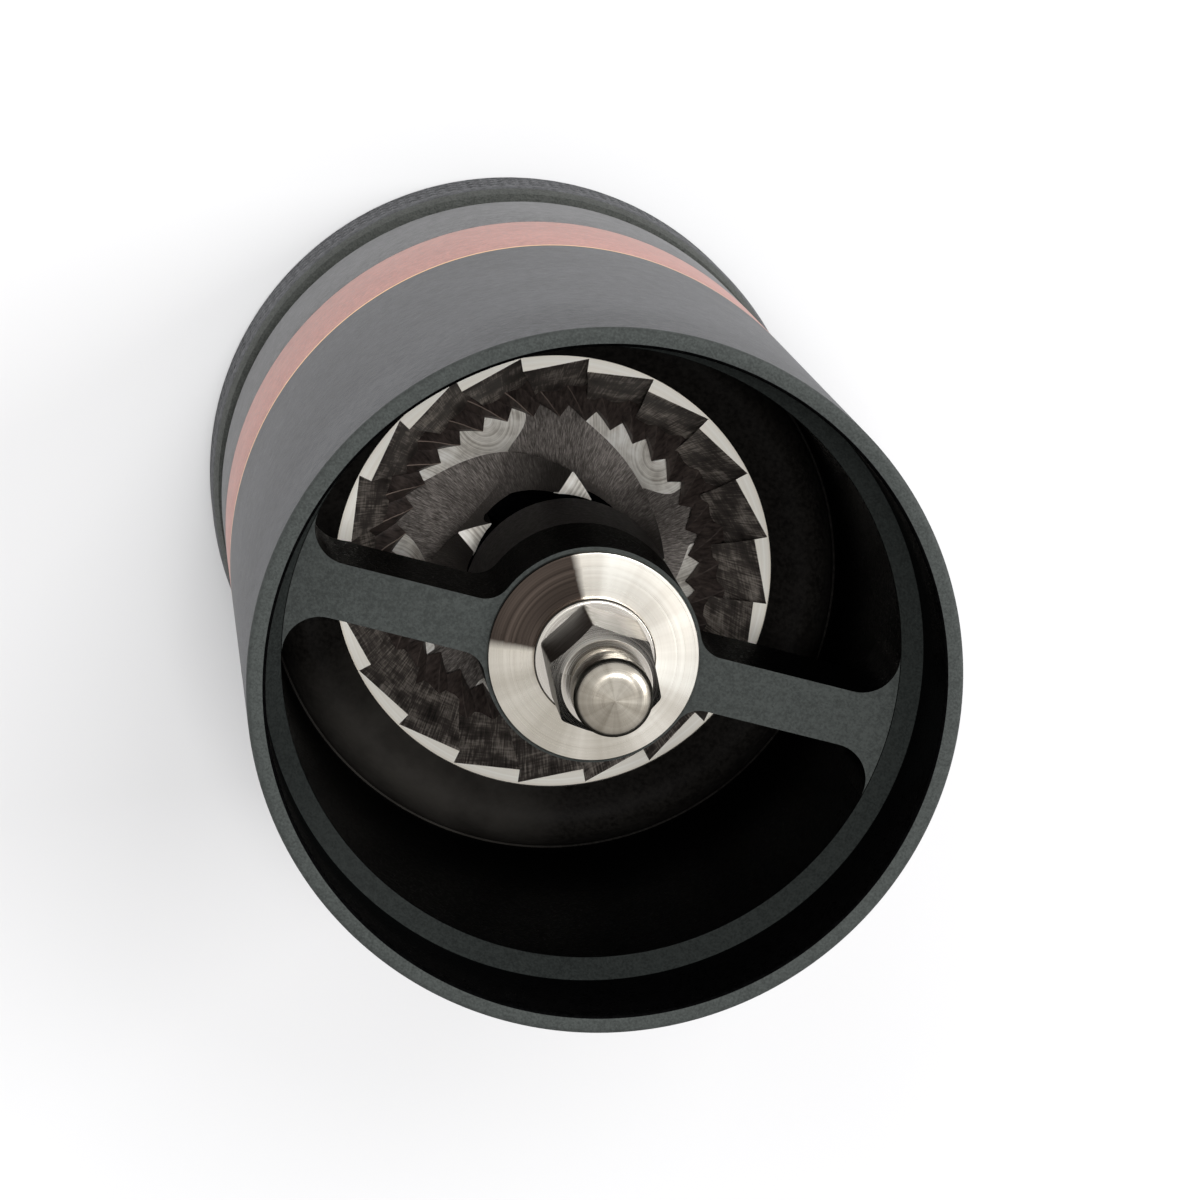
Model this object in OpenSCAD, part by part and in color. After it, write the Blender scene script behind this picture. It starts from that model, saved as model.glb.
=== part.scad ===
// Compact hand burr coffee grinder, shown with its lid and crank lifted off.
// Millimetres, +Z up along the drive shaft, origin at the centre of the base.

/* [Body] */
// Outer diameter of the body
body_d = 56; // [54:1:58]
// Height of the hopper rim above the base
body_h = 105; // [104:1:112]
// Depth of the recess that the lid drops into
lid_recess = 10.8; // [8:0.4:12]
// Bore radius of the lid recess
recess_r = 26.5; // [26:0.1:26.6]
// Bore radius of the hopper
hopper_r = 24.9; // [24.5:0.1:24.9]
// Height of the top edge of the copper sleeve
sleeve_top = 50.4; // [49:0.2:51]
// Height of the bottom edge of the copper sleeve
sleeve_bottom = 31.8; // [30:0.2:33]

/* [Bridge] */
// Width of the two arms that carry the bearing hub
arm_w = 4.5; // [3.5:0.1:6]
// Depth of the arms along the shaft
arm_depth = 11.4; // [8:0.2:14]
// Radius of the bearing hub
hub_r = 8.8; // [8.6:0.1:9.6]
// Length of the bearing hub
hub_len = 24; // [22:0.5:25]
// Fillet radius where an arm meets the wall
foot_fillet = 3; // [2:0.2:4]
// Fillet radius where an arm meets the hub
hub_fillet = 2.2; // [1:0.2:3]

/* [Burrs] */
// Outer radius of the ring burr
burr_r = 20; // [19.8:0.1:20]
// Height of the ring burr's flat top
burr_top = 55.9; // [55.9:0.1:56]
// Height of both burrs' lower ends
burr_bottom = 36.5; // [36.3:0.1:37]
// Number of coarse teeth on the ring burr
coarse_teeth = 20; // [16:1:24]
// Number of fine teeth on the ring burr
fine_teeth = 34; // [24:1:40]
// Number of flutes on the cone burr
flutes = 5; // [4:1:6]
// Number of fine teeth on the cone burr
cone_teeth = 40; // [30:1:45]

/* [Drive] */
// Width across the flats of the hexagon that the crank drops on
hex_af = 8; // [7:0.5:8]
// Radius of the round pilot above the hexagon
pilot_r = 3.1; // [2.8:0.1:3.4]
// Height of the pilot's round end above the rim
pilot_rise = 6; // [4:0.1:8]
// Radius of the drive shaft
shaft_r = 3.48; // [3.4:0.01:3.48]

/* [Cup] */
// Radius of the knurled base ring
base_r = 28.85; // [28.5:0.05:29.5]
// Number of grooves across the knurl
knurl_cuts = 60; // [40:4:72]

/* [Hidden] */
$fn = 96;
e = 0.05;           // running and assembly clearance
far = 60;           // longer than any part, for cutting tools

body_r = body_d / 2;
ledge_z = body_h - lid_recess;                      // foot of the lid recess
bridge_top = ledge_z - (recess_r - hopper_r) + 0.3; // flat top of the bridge
hub_bottom = bridge_top - hub_len;
seat_z = 55;                                        // shoulder that the burr stack seats against
seat_r = 25.4;                                      // bore below that shoulder
spigot_r = 26.6;                                    // outside of the spigot under the sleeve
spigot_end = 24.1;
skirt_bottom = 14.5;
cup_bore_r = 24.6;

carrier_bottom = 34;
circlip_t = 1.1;
circlip_z = carrier_bottom - circlip_t - e;
circlip_groove_r = 25.95;

// Deep-groove ball bearing, 7 x 14 x 5
bearing_w = 5;
race_in_r = 3.5;
race_out_r = 7;
ball_r = 0.98;
ball_pitch_r = 5.25;
ball_count = 9;
land_in_r = 4.7;
land_out_r = 5.8;
groove_r = 1.02;
upper_bearing_z = bridge_top - 0.3 - bearing_w;
lower_bearing_z = hub_bottom + 0.3;
spacer_r = 4.6;

washer_t = 0.8;
washer_r = 8.5;
washer_z = upper_bearing_z + bearing_w + 0.4;       // a shim of this thickness lifts it off the hub
collar_z = washer_z + washer_t;
collar_r = 4.93;
collar_h = 1;
hex_top = body_h - 0.4;
hex_turn = -3;
neck_r = 2.6;                                       // neck between the hexagon and the pilot
neck_h = 1.8;
hex_z = collar_z + collar_h;
tip_z = body_h + pilot_rise;
tip_round = 1.15;
shaft_end = 27;
flat_af = 5.6;                                      // across the two flats that drive the cone burr
flat_top = 64;

clip_z = lower_bearing_z - 1;                       // shaft circlip, under the lower bearing
clip_t = 0.8;
clip_groove_r = 2.9;
seat_washer_z = clip_z - 1.1;
cone_top = 59.4;
cone_top_r = 9.5;
throat_z = 48.4;                                    // narrowest place of the ring burr
throat_r = 12.1;
cone_skirt_z = 47.4;                                // top of the cone burr's fine teeth
cone_throat_r = 12;
neck_of_cone_r = 11.5;                              // cone burr just above its fine teeth
mouth_r = 17.9;                                     // inner edge of the ring burr's land at its wide end
land_r = 19;                                        // and at its pointed end
shelf_z = 49.8;                                     // where the coarse teeth give way to the fine ones
shelf_r = 15.05;
base_mouth_r = 16.6;                                // ring burr's opening at its lower end
cone_base_r = 16.2;
coarse_phase = 5.6;
fine_phase = 1.4;
flute_phase = 98;
spring_pocket_r = 7.5;                              // pocket in the cone burr's top, round the spring
spring_pocket_z = 53.7;
plate_z = 35.6;
dial_z = 31.2;
dial_r = 11;
dial_h = 4.3;

cup_top = 31.5;
cup_wall_r = 24.2;
cup_in_r = 22.9;
cup_collar_r = 25.5;
cup_floor = 2.8;
foot_h = 0.5;                                       // the cup's underside stands this far off the table
oring_z = 20;
oring_wire_r = 0.48;
oring_pitch_r = cup_bore_r - 0.02 - oring_wire_r;
cup_neck_r = 27;
ring_top = 9.8;
knurl_z0 = 1.2;
knurl_z1 = 7.8;
knurl_depth = 0.35;

spring_r = 5.3;
spring_wire_r = 0.45;
spring_turns = 5;
spring_steps = 14;
spring_sides = 6;

// A plain tube between two heights
module tube(r_in, r_out, z0, z1) {
    translate([0, 0, z0]) difference() {
        cylinder(r = r_out, h = z1 - z0);
        translate([0, 0, -1]) cylinder(r = r_in, h = z1 - z0 + 2);
    }
}

// A turned part, from its half section
module turned(points) {
    rotate_extrude() polygon(points);
}

module hopper_body() {
    rim_chamfer = 0.5;
    color("dimgray") turned([
        [seat_r, spigot_end], [spigot_r, spigot_end], [spigot_r, sleeve_top], [body_r, sleeve_top],
        [body_r, body_h - rim_chamfer], [body_r - rim_chamfer, body_h],
        [recess_r + rim_chamfer / 2, body_h], [recess_r, body_h - rim_chamfer / 2],
        [recess_r, ledge_z], [hopper_r, bridge_top], [hopper_r, seat_z], [seat_r, seat_z],
        [seat_r, circlip_z + circlip_t], [circlip_groove_r, circlip_z + circlip_t],
        [circlip_groove_r, circlip_z - e], [seat_r, circlip_z - e]]);
}

// Points of an arc about c, from angle a0 to a1
function arc(c, r, a0, a1, steps = 12) = [for (i = [0 : steps])
    let (a = a0 + (a1 - a0) * i / steps) c + r * [cos(a), sin(a)]];

// Outline of one arm, from inside the hub to the wall, with its fillets
module arm_outline() {
    sink = 0.06;                // how far the fillets run into the hub, to meet it cleanly
    wall = hopper_r - 0.02;
    foot = [sqrt(pow(wall - foot_fillet, 2) - pow(arm_w / 2 + foot_fillet, 2)), arm_w / 2 + foot_fillet];
    root = [sqrt(pow(hub_r - sink + hub_fillet, 2) - pow(arm_w / 2 + hub_fillet, 2)), arm_w / 2 + hub_fillet];
    foot_a = atan2(foot[1], foot[0]);
    root_a = atan2(root[1], root[0]);
    side = concat(
        [[hub_r / 2, arm_w]],
        arc(root, hub_fillet, 180 + root_a, 270),
        arc(foot, foot_fillet, -90, foot_a),
        arc([0, 0], wall, foot_a, 0, 8));
    count = len(side);
    mirrored = [for (i = [count - 2 : -1 : 0]) [side[i][0], -side[i][1]]];
    polygon(concat(side, mirrored));
}

module bearing_bridge() {
    bore_r = 5.4;
    color("dimgray") difference() {
        union() {
            translate([0, 0, hub_bottom]) cylinder(r = hub_r, h = hub_len);
            translate([0, 0, bridge_top - arm_depth]) linear_extrude(arm_depth)
                for (turn = [0, 180]) rotate(turn) arm_outline();
        }
        translate([0, 0, hub_bottom - 1]) cylinder(r = bore_r, h = hub_len + 2);
        translate([0, 0, upper_bearing_z]) cylinder(r = race_out_r, h = far);
        translate([0, 0, hub_bottom - 1]) cylinder(r = race_out_r, h = lower_bearing_z + bearing_w - hub_bottom + 1);
    }
}

module copper_sleeve() {
    bevel = 0.3;
    color("rosybrown") turned([
        [spigot_r + e, sleeve_bottom], [body_r - bevel / 2, sleeve_bottom], [body_r, sleeve_bottom + bevel / 2],
        [body_r, sleeve_top - e - bevel], [body_r - bevel, sleeve_top - e], [spigot_r + e, sleeve_top - e]]);
}

module lower_skirt() {
    top = sleeve_bottom - e;
    bevel = 0.4;
    color("dimgray") turned([
        [cup_bore_r, skirt_bottom], [body_r - bevel, skirt_bottom], [body_r, skirt_bottom + bevel],
        [body_r, top], [spigot_r + e, top], [spigot_r + e, spigot_end - 0.1], [cup_bore_r, spigot_end - 0.1]]);
}

// Rounded plastic ring that holds the ring burr down and leads the beans in
module burr_clamp_ring() {
    in_r = 19.1;
    out_r = hopper_r - 0.2;
    lip_z = burr_top + 0.35;
    crest = 2.1;
    steps = 14;
    dome = [for (i = [0 : steps])
        let (t = i / steps)
        [out_r + (in_r - out_r) * t, seat_z + 0.1 + (lip_z - seat_z - 0.1) * t + crest * sin(180 * pow(t, 0.8))]];
    color("#1c1b1a") turned(concat(
        [[in_r, burr_top], [burr_r + 0.15, burr_top], [burr_r + 0.15, seat_z - 1], [seat_r - e, seat_z - 1],
         [seat_r - e, seat_z - e], [out_r, seat_z - e]], dome));
}

module burr_carrier() {
    lip_r = 18.2;
    color("silver") turned([
        [lip_r, carrier_bottom], [seat_r - e, carrier_bottom], [seat_r - e, seat_z - 1 - e],
        [burr_r + e, seat_z - 1 - e], [burr_r + e, burr_bottom - e], [lip_r, burr_bottom - e]]);
}

// Circlip: a flat ring with a gap
module circlip(r_in, r_out, z, t, gap) {
    translate([0, 0, z]) difference() {
        cylinder(r = r_out, h = t);
        translate([0, 0, -1]) cylinder(r = r_in, h = t + 2);
        rotate(90) translate([0, -gap / 2, -1]) cube([far, gap, t + 2]);
    }
}

module carrier_circlip() {
    color("silver") circlip(24.75, circlip_groove_r - e, circlip_z, circlip_t - e, 8);
}

// Saw-toothed solid between levels of [tip radius, root radius, height, twist]
module toothed(n, levels, hand) {
    pitch = 360 / n;
    count = len(levels);
    ring = [for (v = levels, i = [0 : n - 1], k = [0, 1])
        let (a = hand * (pitch * (i + 0.94 * k) + v[3]), r = k == 0 ? v[1] : v[0])
        [r * cos(a), r * sin(a), v[2]]];
    low = len(ring);
    ends = [[0, 0, levels[0][2]], [0, 0, levels[count - 1][2]]];
    m = 2 * n;
    walls = [for (l = [0 : count - 2], j = [0 : m - 1])
        let (k = (j + 1) % m, p = l * m, q = p + m)
        each [[p + j, q + k, p + k], [p + j, q + j, q + k]]];
    caps = [for (j = [0 : m - 1])
        let (k = (j + 1) % m, q = (count - 1) * m)
        each [[low, j, k], [low + 1, q + k, q + j]]];
    faces = concat(walls, caps);
    polyhedron(points = concat(ring, ends), faces = hand > 0 ? faces : [for (f = faces) [f[2], f[1], f[0]]]);
}

module outer_burr() {
    over = 0.4;                 // the coarse cutter runs on past the top at the same slope
    rise = over / (burr_top - shelf_z);
    color("gray") difference() {
        translate([0, 0, burr_bottom]) cylinder(r = burr_r, h = burr_top - burr_bottom);
        rotate(coarse_phase) toothed(coarse_teeth, [
            [shelf_r, shelf_r + 0.8, shelf_z, -4],
            [mouth_r + (mouth_r - shelf_r) * rise, land_r + (land_r - shelf_r - 0.8) * rise, burr_top + over, 0]], 1);
        rotate(fine_phase) toothed(fine_teeth, [
            [base_mouth_r + 0.1, base_mouth_r + 0.7, burr_bottom - over, 0],
            [throat_r, throat_r + 0.7, throat_z, 9],
            [shelf_r - 1, shelf_r - 0.3, shelf_z + over, -1]], -1);
    }
}

module race(r_bore, r_land, z) {
    difference() {
        tube(min(r_bore, r_land), max(r_bore, r_land), z, z + bearing_w);
        translate([0, 0, z + bearing_w / 2]) rotate_extrude() translate([ball_pitch_r, 0]) circle(r = groove_r);
    }
}

module outer_race(z) {
    color("lightgray") race(race_out_r - 0.01, land_out_r, z);
}

module inner_race(z) {
    color("lightgray") race(race_in_r, land_in_r, z);
}

module shields(z) {
    t = 0.2;
    color("lightgray") for (dz = [0.15, bearing_w - 0.15 - t])
        tube(land_in_r + 0.08, land_out_r - 0.01, z + dz, z + dz + t);
}

module balls(z) {
    color("silver") for (i = [0 : ball_count - 1])
        rotate(360 / ball_count * i) translate([ball_pitch_r, 0, z + bearing_w / 2]) sphere(r = ball_r);
}

module cage(z) {
    t = 0.2;
    h = 2.7;
    mid = z + bearing_w / 2;
    color("goldenrod") difference() {
        tube(ball_pitch_r - t, ball_pitch_r + t, mid - h / 2, mid + h / 2);
        for (i = [0 : ball_count - 1])
            rotate(360 / ball_count * i) translate([0, 0, mid]) rotate([0, 90, 0]) cylinder(r = ball_r + e, h = far);
    }
}

module drive_shaft() {
    hex_r = hex_af / 2 / cos(30);
    cap = 0.6;                  // height of the round chamfer on the hexagon's end
    steps = 6;
    round_end = [for (i = [0 : steps]) let (a = 90 * i / steps)
        [pilot_r - tip_round + tip_round * cos(a), tip_z - tip_round + tip_round * sin(a)]];
    color("silver") {
        difference() {
            turned(concat(
                [[0, shaft_end], [shaft_r - 0.4, shaft_end], [shaft_r, shaft_end + 0.4],
                 [shaft_r, clip_z - e], [clip_groove_r, clip_z - e], [clip_groove_r, clip_z + clip_t], [shaft_r, clip_z + clip_t],
                 [shaft_r, collar_z], [collar_r, collar_z], [collar_r, collar_z + collar_h - 0.4],
                 [collar_r - 0.4, collar_z + collar_h], [neck_r, collar_z + collar_h],
                 [neck_r, hex_top + neck_h], [pilot_r, hex_top + neck_h + 0.4]],
                round_end, [[0, tip_z]]));
            for (side = [0, 1]) mirror([side, 0, 0])
                translate([flat_af / 2, -far / 2, shaft_end - 1]) cube([far, far, flat_top - shaft_end + 1]);
        }
        rotate(hex_turn) intersection() {
            translate([0, 0, hex_z - 0.1]) cylinder(r = hex_r, h = hex_top - hex_z + 0.1, $fn = 6);
            turned([[0, hex_z - 0.1], [hex_r + 0.1, hex_z - 0.1], [hex_r + 0.1, hex_top - cap],
                [hex_r - 0.9, hex_top], [0, hex_top]]);
        }
    }
}

module cap_washer() {
    bevel = 0.15;
    color("gainsboro") turned([
        [shaft_r + 0.01, washer_z], [washer_r, washer_z], [washer_r, washer_z + washer_t - bevel],
        [washer_r - bevel, washer_z + washer_t], [shaft_r + 0.01, washer_z + washer_t]]);
}

module upper_shim() {
    color("silver") tube(shaft_r + 0.01, spacer_r, upper_bearing_z + bearing_w, washer_z);
}

module race_spacer() {
    color("silver") tube(shaft_r + 0.01, spacer_r, lower_bearing_z + bearing_w, upper_bearing_z);
}

module shaft_circlip() {
    color("silver") circlip(clip_groove_r + 0.02, 4.9, clip_z, clip_t - e, 2.4);
}

module spring_seat() {
    color("silver") tube(shaft_r + 0.02, 6.2, seat_washer_z, seat_washer_z + 0.8);
}

// Compression spring: one polyhedron swept along its helix
module burr_spring() {
    z0 = spring_pocket_z + spring_wire_r + 0.05;
    z1 = seat_washer_z - spring_wire_r - 0.05;
    last = spring_turns * spring_steps;
    ring = [for (i = [0 : last], j = [0 : spring_sides - 1])
        let (a = 360 * i / spring_steps, b = 360 * j / spring_sides, r = spring_r + spring_wire_r * cos(b))
        [r * cos(a), r * sin(a), z0 + (z1 - z0) * i / last + spring_wire_r * sin(b)]];
    sides = [for (i = [0 : last - 1], j = [0 : spring_sides - 1])
        let (k = (j + 1) % spring_sides, p = i * spring_sides, q = p + spring_sides)
        each [[p + j, p + k, q + k], [p + j, q + k, q + j]]];
    start = [[for (j = [spring_sides - 1 : -1 : 0]) j]];
    finish = [[for (j = [0 : spring_sides - 1]) last * spring_sides + j]];
    color("silver") polyhedron(points = ring, faces = concat(start, sides, finish));
}

// The bore with two flats that fits the shaft
module flatted_bore(z0, z1) {
    intersection() {
        translate([0, 0, z0]) cylinder(r = shaft_r + e, h = z1 - z0);
        translate([-flat_af / 2 - e, -far / 2, z0]) cube([flat_af + 2 * e, far, z1 - z0]);
    }
}

module inner_burr() {
    cutter_r = 11;
    flute_foot = cone_skirt_z + 0.5;
    flute_depth = 1.5;
    color("gray") difference() {
        union() {
            toothed(cone_teeth, [
                [cone_base_r, cone_base_r - 0.7, burr_bottom, 0],
                [cone_throat_r, cone_throat_r - 0.3, cone_skirt_z, 10]], 1);
            turned([[0, burr_bottom + 1], [neck_of_cone_r - 0.3, burr_bottom + 1], [neck_of_cone_r, cone_skirt_z],
                [cone_top_r, cone_top], [0, cone_top]]);
        }
        flatted_bore(burr_bottom - 1, cone_top + 1);
        translate([0, 0, spring_pocket_z]) cylinder(r = spring_pocket_r, h = far);
        intersection() {
            for (i = [0 : flutes - 1])
                rotate(flute_phase + 360 / flutes * i)
                    translate([neck_of_cone_r + cutter_r - flute_depth, 0, cone_skirt_z - 0.2])
                        rotate([24, -14, 0]) cylinder(r = cutter_r, h = far, center = true);
            translate([-far / 2, -far / 2, flute_foot]) cube([far, far, far]);
        }
    }
}

module click_plate() {
    out_r = 9;
    color("silver") difference() {
        translate([0, 0, plate_z]) cylinder(r = out_r, h = burr_bottom - e - plate_z);
        flatted_bore(plate_z - 1, burr_bottom + 1);
    }
}

module adjusting_dial() {
    grips = 24;
    color("darkgray") difference() {
        translate([0, 0, dial_z]) cylinder(r = dial_r, h = dial_h);
        translate([0, 0, dial_z - 1]) cylinder(r = shaft_r + e, h = dial_h + 2);
        for (i = [0 : grips - 1])
            rotate(360 / grips * i) translate([dial_r + 0.5, 0, dial_z - 1]) cylinder(r = 1, h = dial_h + 2);
        for (i = [0 : grips - 1])
            rotate(360 / grips * (i + 0.5)) translate([7.5, 0, dial_z + dial_h - 0.3]) cylinder(r = 0.5, h = 1);
    }
}

module catch_cup() {
    collar_top = 8;
    groove = oring_wire_r + 0.15;
    groove_floor = oring_pitch_r - oring_wire_r - 0.02;
    color("dimgray") turned([
        [0, foot_h], [cup_collar_r, foot_h], [cup_collar_r, collar_top], [cup_wall_r, collar_top],
        [cup_wall_r, oring_z - groove], [groove_floor, oring_z - groove],
        [groove_floor, oring_z + groove], [cup_wall_r, oring_z + groove],
        [cup_wall_r, cup_top - 0.4], [cup_wall_r - 0.4, cup_top],
        [cup_in_r, cup_top], [cup_in_r, cup_floor + 2], [cup_in_r - 2, cup_floor], [0, cup_floor]]);
}

module knurled_base_ring() {
    collar_top = 8;
    color("dimgray") difference() {
        turned([
            [cup_collar_r + e, 0], [base_r - 0.8, 0], [base_r, 0.8],
            [base_r, ring_top - 1.4], [base_r - 0.65, ring_top], [cup_neck_r, ring_top], [cup_neck_r, skirt_bottom - 0.1],
            [cup_wall_r + e, skirt_bottom - 0.1], [cup_wall_r + e, collar_top + e], [cup_collar_r + e, collar_top + e]]);
        for (i = [0 : knurl_cuts - 1])
            rotate(360 / knurl_cuts * i) translate([base_r + 0.5 - knurl_depth, 0, knurl_z0])
                rotate(45) translate([0, 0, 0]) cube([0.7, 0.7, knurl_z1 - knurl_z0]);
    }
}

module cup_oring() {
    color("#202020") rotate_extrude() translate([oring_pitch_r, oring_z]) circle(r = oring_wire_r);
}

hopper_body();
bearing_bridge();
copper_sleeve();
lower_skirt();
burr_clamp_ring();
burr_carrier();
carrier_circlip();
outer_burr();
outer_race(upper_bearing_z);  // upper_outer_race
outer_race(lower_bearing_z);  // lower_outer_race
shields(upper_bearing_z);  // upper_bearing_shields
shields(lower_bearing_z);  // lower_bearing_shields
inner_race(upper_bearing_z);  // upper_inner_race
inner_race(lower_bearing_z);  // lower_inner_race
balls(upper_bearing_z);  // upper_bearing_balls
balls(lower_bearing_z);  // lower_bearing_balls
cage(upper_bearing_z);  // upper_bearing_cage
cage(lower_bearing_z);  // lower_bearing_cage
drive_shaft();
cap_washer();
upper_shim();
race_spacer();
shaft_circlip();
spring_seat();
burr_spring();
inner_burr();
click_plate();
adjusting_dial();
catch_cup();
knurled_base_ring();
cup_oring();
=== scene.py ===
import math

import bmesh
import bpy
from mathutils import Matrix, Vector


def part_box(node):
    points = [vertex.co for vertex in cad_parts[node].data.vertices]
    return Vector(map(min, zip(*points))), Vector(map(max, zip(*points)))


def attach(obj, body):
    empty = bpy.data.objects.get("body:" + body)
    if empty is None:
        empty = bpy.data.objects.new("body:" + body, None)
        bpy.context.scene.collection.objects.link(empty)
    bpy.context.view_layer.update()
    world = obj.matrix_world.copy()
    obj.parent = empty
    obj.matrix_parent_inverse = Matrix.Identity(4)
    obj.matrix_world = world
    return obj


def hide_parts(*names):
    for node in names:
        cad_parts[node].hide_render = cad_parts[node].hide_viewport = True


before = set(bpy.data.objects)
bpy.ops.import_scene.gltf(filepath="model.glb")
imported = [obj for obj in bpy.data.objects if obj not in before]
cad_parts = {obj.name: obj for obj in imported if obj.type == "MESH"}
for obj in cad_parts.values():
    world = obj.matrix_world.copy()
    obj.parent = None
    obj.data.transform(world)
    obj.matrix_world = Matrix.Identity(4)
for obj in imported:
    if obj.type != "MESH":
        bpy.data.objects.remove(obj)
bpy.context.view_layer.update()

MM = 0.001
TAU = 2 * math.pi
COARSE_TEETH, FINE_TEETH, FLUTES = 20, 34, 5
SEGS = 256                             # columns of a turned piece
PAINTED_WEDGE_DIRECTION = (-0.8746, 0.4848)    # which way the cap washer's painted dark reflection lies
ARC_CENTRE = (0.0074, 0.0113)          # centre of the grinder's arcs on one land of the cone, metres
SLEEVE_GAP = 0.05                      # joint line on each side of the copper sleeve


# ------------------------------------------------------------------ sizes from the frame, in millimetres
def low(node):
    return [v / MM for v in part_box(node)[0]]


def high(node):
    return [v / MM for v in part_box(node)[1]]


RIM_Z = high("hopper_body")[2]
BODY_R = high("hopper_body")[0]
RECESS_R = BODY_R - 1.5
HOPPER_R = BODY_R - 3.1
BRIDGE_TOP = high("bearing_bridge")[2]
HUB_BOTTOM = low("bearing_bridge")[2]
LEDGE_Z = BRIDGE_TOP + 1.3
SLEEVE_TOP = high("copper_sleeve")[2] + SLEEVE_GAP
SLEEVE_BOTTOM = low("copper_sleeve")[2]
SKIRT_BOTTOM = low("lower_skirt")[2]
BURR_TOP = high("outer_burr")[2]
BURR_BOTTOM = low("outer_burr")[2]
BURR_R = high("outer_burr")[0]
CONE_TOP = high("inner_burr")[2]
DISC_TOP = high("cap_washer")[2]
DISC_BOTTOM = low("cap_washer")[2]
DISC_R = high("cap_washer")[0]
SHAFT_TIP = high("drive_shaft")[2]
SHAFT_END = low("drive_shaft")[2]

# sizes inside a node, which its box doesn't give
HUB_R = 8.8
HUB_BORE_R = 7.0
HUB_PLATE = 11.4                       # depth of the bridge's arms
SEAT_Z = 55.0                          # the shelf that the clamp ring bears on
CARRIER_SEAT_R = 25.35
CARRIER_BOTTOM, CARRIER_TOP = 34.0, 53.95
SLEEVE_IN_R = 26.65
SKIRT_IN_R = 24.6
SHELF_Z = 24.0                         # the skirt's shelf, just under the body's spigot


# ------------------------------------------------------------------ mesh helpers
def new_mesh(name, verts, faces, mats, face_mats=None, sharp=30):
    """A mesh from millimetre vertices. face_mats gives a material index per face, sharp the crease angle."""
    me = bpy.data.meshes.new(name)
    me.from_pydata([(x * MM, y * MM, z * MM) for x, y, z in verts], [], faces)
    me.validate()
    for m in mats:
        me.materials.append(m)
    if face_mats:
        for p, k in zip(me.polygons, face_mats):
            p.material_index = k
    ob = bpy.data.objects.new(name, me)
    bpy.context.scene.collection.objects.link(ob)
    tidy_normals(me, sharp)
    return ob


def tidy_normals(me, sharp):
    """Outward normals, smooth faces, and hard edges where two faces meet at more than sharp degrees."""
    bm = bmesh.new()
    bm.from_mesh(me)
    bmesh.ops.recalc_face_normals(bm, faces=bm.faces)
    for f in bm.faces:
        f.smooth = True
    for e in bm.edges:
        if len(e.link_faces) == 2 and e.calc_face_angle(0) > math.radians(sharp):
            e.smooth = False
    bm.to_mesh(me)
    bm.free()


def lathe_data(profile, mats=None):
    """A closed half-section of (r, z) turned round the axis. mats gives a material index per profile edge."""
    verts, faces, face_mats, rows = [], [], [], []
    for r, z in profile:
        if r < 1e-6:
            rows.append([len(verts)])
            verts.append((0, 0, z))
        else:
            rows.append(list(range(len(verts), len(verts) + SEGS)))
            for i in range(SEGS):
                a = TAU * i / SEGS
                verts.append((r * math.cos(a), r * math.sin(a), z))
    n = len(profile)
    for k in range(n):
        p, q = rows[k], rows[(k + 1) % n]
        if len(p) == 1 and len(q) == 1:
            continue
        for i in range(SEGS):
            j = (i + 1) % SEGS
            if len(p) == 1:
                faces.append((p[0], q[i], q[j]))
            elif len(q) == 1:
                faces.append((p[i], q[0], p[j]))
            else:
                faces.append((p[i], q[i], q[j], p[j]))
            face_mats.append(mats[k] if mats else 0)
    return verts, faces, face_mats


def lathe(name, profile, mats, edge_mats=None):
    verts, faces, face_mats = lathe_data(profile, edge_mats)
    return new_mesh(name, verts, faces, mats, face_mats)


def rounded(points, radii, steps=4):
    """Rounds the corners of a closed (r, z) profile. radii maps a corner's index to its radius."""
    out, n = [], len(points)
    for i, p in enumerate(points):
        rad = radii.get(i, 0)
        if not rad:
            out.append(p)
            continue
        a, b = Vector(points[i - 1]), Vector(points[(i + 1) % n])
        c = Vector(p)
        da, db = (a - c).normalized(), (b - c).normalized()
        half = math.acos(max(-1, min(1, da.dot(db)))) / 2
        back = rad / math.tan(half)
        centre = c + (da + db).normalized() * (rad / math.sin(half))
        s, e = c + da * back - centre, c + db * back - centre
        turn = math.pi - 2 * half
        sign = 1 if s.x * e.y - s.y * e.x > 0 else -1
        for k in range(steps + 1):
            t = sign * turn * k / steps
            out.append((centre.x + s.x * math.cos(t) - s.y * math.sin(t),
                        centre.y + s.x * math.sin(t) + s.y * math.cos(t)))
    return out


def piece(ob, body, node):
    """Puts a piece on its body, in place of its CAD node."""
    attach(ob, body)
    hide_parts(node)


# ------------------------------------------------------------------ material helpers
def material(name, color, metallic=0.0, rough=0.5, spec=0.5, aniso=0.0):
    m = bpy.data.materials.new(name)
    m.use_nodes = True
    b = m.node_tree.nodes["Principled BSDF"]
    b.inputs["Base Color"].default_value = (*color, 1)
    b.inputs["Metallic"].default_value = metallic
    b.inputs["Roughness"].default_value = rough
    b.inputs["Specular IOR Level"].default_value = spec
    b.inputs["Anisotropic"].default_value = aniso
    return m


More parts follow.
